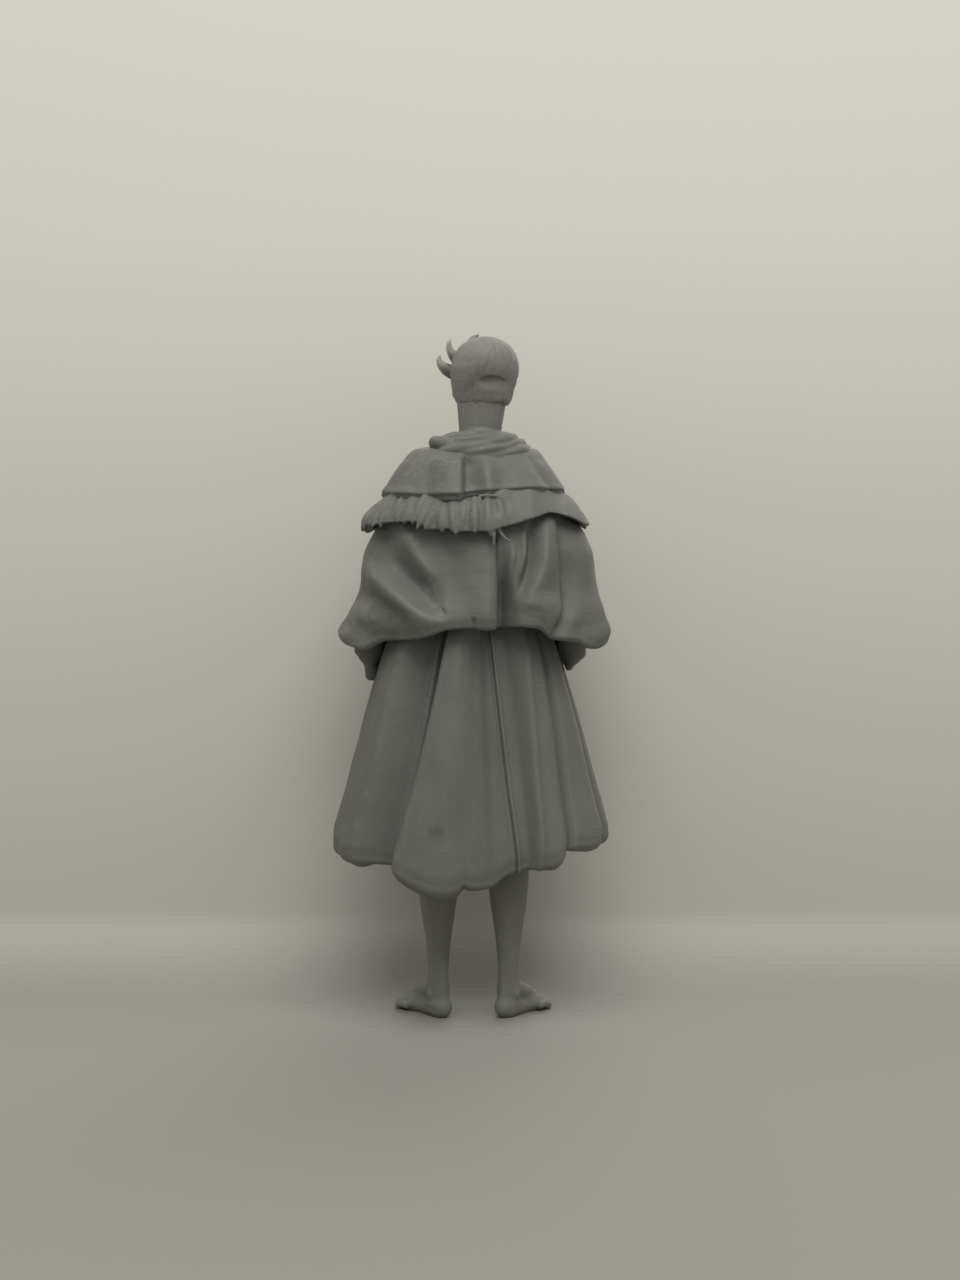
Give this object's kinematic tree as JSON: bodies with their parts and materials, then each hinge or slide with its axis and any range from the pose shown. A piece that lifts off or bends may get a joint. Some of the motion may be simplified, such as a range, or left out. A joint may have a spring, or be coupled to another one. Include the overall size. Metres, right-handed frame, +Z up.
{
  "type": "tabletop miniature figure",
  "caption": "Unpainted resin miniature of a barefoot robed figure in tiered capes and a long pleated skirt; head and hands turn on round pegs.",
  "frame": {"origin": "on the standing surface, under the middle of the figure's box", "axes": "+Z up the standing figure, -Y the way it faces, +X to its left"},
  "size_m": [0.0144, 0.0116, 0.035],
  "materials": {
    "resin_body": "satin grey printing resin",
    "resin_hair": "satin grey printing resin",
    "resin_garments": "satin grey printing resin"
  },
  "bodies": {
    "figure": {"torso": "resin_garments", "hips": "resin_garments", "skirt": "resin_garments", "left_leg": "resin_body", "right_leg": "resin_body", "left_sleeve": "resin_garments", "right_sleeve": "resin_garments", "mantle_left": "resin_garments", "mantle_right": "resin_garments", "fringe": "resin_garments", "capelet": "resin_garments", "scarf": "resin_garments"},
    "head": {"head": "resin_body", "hair": "resin_hair"},
    "left_hand": {"left_hand": "resin_body"},
    "right_hand": {"right_hand": "resin_body"}
  },
  "joints": [
    {"name": "head_turn", "type": "hinge", "parent": "figure", "child": "head", "pos_m": [-0.0005, 0.0002, 0.0299], "axis": [0, 0, 1], "range_deg": [-60, 60]},
    {"name": "left_wrist_turn", "type": "hinge", "parent": "figure", "child": "left_hand", "pos_m": [0.00363, -0.0039, 0.0192], "axis": [-0.2582, -0.8372, -0.482], "range_deg": [-30, 30]},
    {"name": "right_wrist_turn", "type": "hinge", "parent": "figure", "child": "right_hand", "pos_m": [-0.00363, -0.0039, 0.0192], "axis": [0.2582, -0.8372, -0.482], "range_deg": [-30, 30]}
  ]
}
